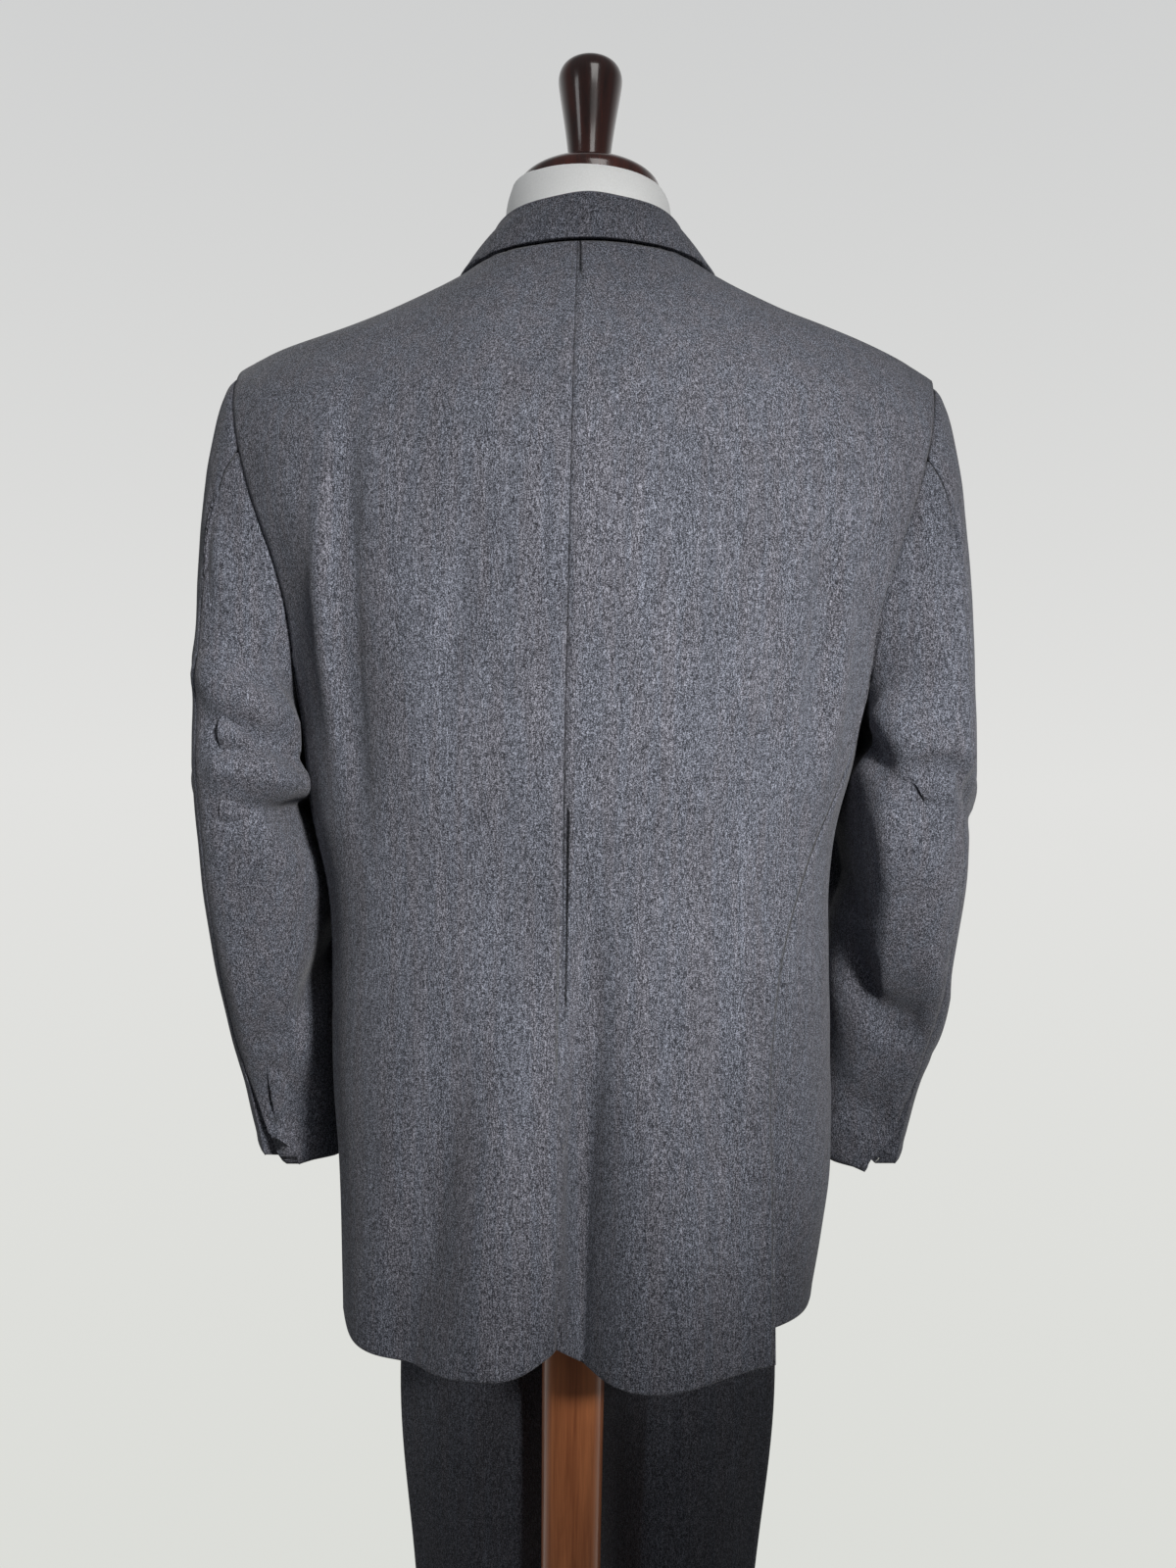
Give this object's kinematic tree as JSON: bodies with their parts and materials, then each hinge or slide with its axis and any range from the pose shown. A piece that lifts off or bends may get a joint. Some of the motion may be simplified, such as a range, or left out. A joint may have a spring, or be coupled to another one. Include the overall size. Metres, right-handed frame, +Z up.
{
  "type": "double-breasted suit on a limbless dress form with stand",
  "caption": "Double-breasted wool jacket with side vents and peak lapels and matching trousers, on a limbless dress form with a turned wooden cap, pole and round base.",
  "frame": {"origin": "centre of the round base's underside, on the floor under the pole", "axes": "+Z up along the pole, the suit faces -Y, +X is the wearer's left; the picture shows it from behind, from +Y"},
  "size_m": [0.5488, 0.386, 1.7404],
  "materials": {
    "suit_wool": "matte twill worsted, charcoal melange",
    "horn": "satin horn",
    "form_cover": "matte white cotton cover",
    "stained_wood": "stained and varnished"
  },
  "bodies": {
    "root": {"back_left": "suit_wool", "back_right": "suit_wool", "side_left": "suit_wool", "side_right": "suit_wool", "front_left": "suit_wool", "front_right": "suit_wool", "sleeve_top_left": "suit_wool", "sleeve_top_right": "suit_wool", "sleeve_under_left": "suit_wool", "sleeve_under_right": "suit_wool", "lapel_left": "suit_wool", "lapel_right": "suit_wool", "pocket_flap_left": "suit_wool", "pocket_flap_right": "suit_wool", "collar": "suit_wool", "breast_welt": "suit_wool", "trouser_back_left": "suit_wool", "trouser_back_right": "suit_wool", "trouser_front_left": "suit_wool", "trouser_front_right": "suit_wool", "waistband": "suit_wool", "button_low_left": "horn", "button_low_right": "horn", "button_waist_left": "horn", "button_waist_right": "horn", "button_chest_left": "horn", "button_chest_right": "horn", "form_torso": "form_cover", "neck_cap": "stained_wood", "neck_finial": "stained_wood", "pole": "stained_wood", "base": "stained_wood"}
  },
  "joints": []
}
